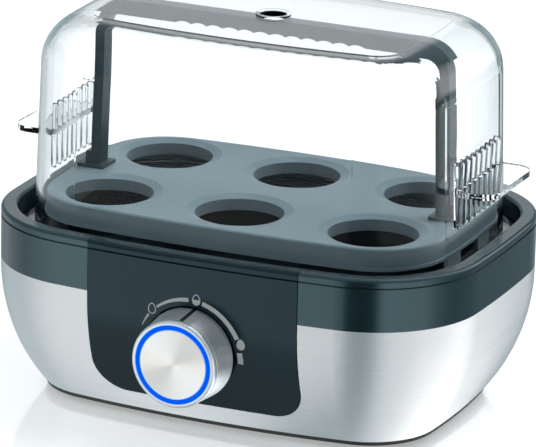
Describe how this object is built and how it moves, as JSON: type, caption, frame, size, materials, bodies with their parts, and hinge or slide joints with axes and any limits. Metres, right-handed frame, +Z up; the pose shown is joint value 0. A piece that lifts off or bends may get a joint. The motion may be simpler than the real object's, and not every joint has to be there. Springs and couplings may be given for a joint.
{
  "type": "electric egg cooker",
  "caption": "Electric egg cooker: steel housing with a push and turn timer knob, heating bowl, egg rack with a carrying handle and a clear lid with a steam hole.",
  "frame": {"origin": "on the table, under the middle of the housing", "axes": "+X along the long front towards the right end as seen from the front, -Y out of the front with the knob, +Z up"},
  "size_m": [0.2046, 0.175, 0.1533],
  "materials": {
    "brushed steel": "brushed along the housing",
    "collar plastic": "gloss",
    "panel plastic": "gloss",
    "base plastic": "fine grain",
    "foot rubber": "matt",
    "bowl coating": "dark non-stick coating",
    "seal rubber": "matt",
    "cast spreader": "as cast",
    "element sheath": "annealed",
    "contact metal": "plain",
    "zinc screws": "zinc",
    "standoff metal": "turned",
    "fuse case": "plain",
    "circuit board": "solder mask",
    "black moulding": "plain",
    "white moulding": "plain",
    "blue lamp": "clear blue",
    "light guide": "clear",
    "relay case": "plain",
    "gland rubber": "matt",
    "turned steel": "fine turned",
    "ring blue": "lit",
    "spun steel": "circular",
    "tray plastic": "satin",
    "handle plastic": "satin",
    "clear plastic": "clear"
  },
  "bodies": {
    "base": {"steel_shell": "brushed steel", "trim_ring": "collar plastic", "control_panel": "panel plastic", "base_plate": "base plastic", "rubber_feet": "foot rubber", "heating_bowl": "bowl coating", "bowl_seal": "seal rubber", "heat_spreader": "cast spreader", "heating_element": "element sheath", "element_pins": "contact metal", "element_straps": "zinc screws", "strap_screws": "zinc screws", "temperature_sensor": "fuse case", "thermal_fuse": "fuse case", "standoffs": "standoff metal", "base_screws": "zinc screws", "panel_screws": "zinc screws", "control_board": "circuit board", "dial_switch": "black moulding", "status_leds": "blue lamp", "light_guide": "light guide", "buzzer": "black moulding", "control_chip": "black moulding", "power_board": "circuit board", "board_screws": "zinc screws", "relay": "relay case", "supply_capacitor": "black moulding", "terminal_block": "white moulding", "cord_gland": "gland rubber", "gland_locknut": "black moulding"},
    "rack": {"egg_rack": "tray plastic", "rack_handle": "handle plastic"},
    "lid": {"lid": "clear plastic"},
    "plunger": {"switch_plunger": "white moulding"},
    "knob": {"knob_sleeve": "turned steel", "knob_core": "black moulding", "knob_ring": "ring blue", "knob_face": "spun steel", "hub_clip": "zinc screws", "dial_spindle": "standoff metal"}
  },
  "joints": [
    {"name": "rack_lift", "type": "slide", "parent": "base", "child": "rack", "axis": [0, 0, 1], "range_m": [0, 0.09]},
    {"name": "lid_lift", "type": "slide", "parent": "rack", "child": "lid", "axis": [0, 0, 1], "range_m": [0, 0.12]},
    {"name": "knob_press", "type": "slide", "parent": "base", "child": "plunger", "axis": [0, 1, 0], "range_m": [0, 0.0012], "stiffness_N_per_m": 2000, "springref_m": -0.001},
    {"name": "knob_turn", "type": "hinge", "parent": "plunger", "child": "knob", "pos_m": [0, -0.08, 0.0361], "axis": [0, -1, 0], "range_deg": [-87, 74]}
  ]
}
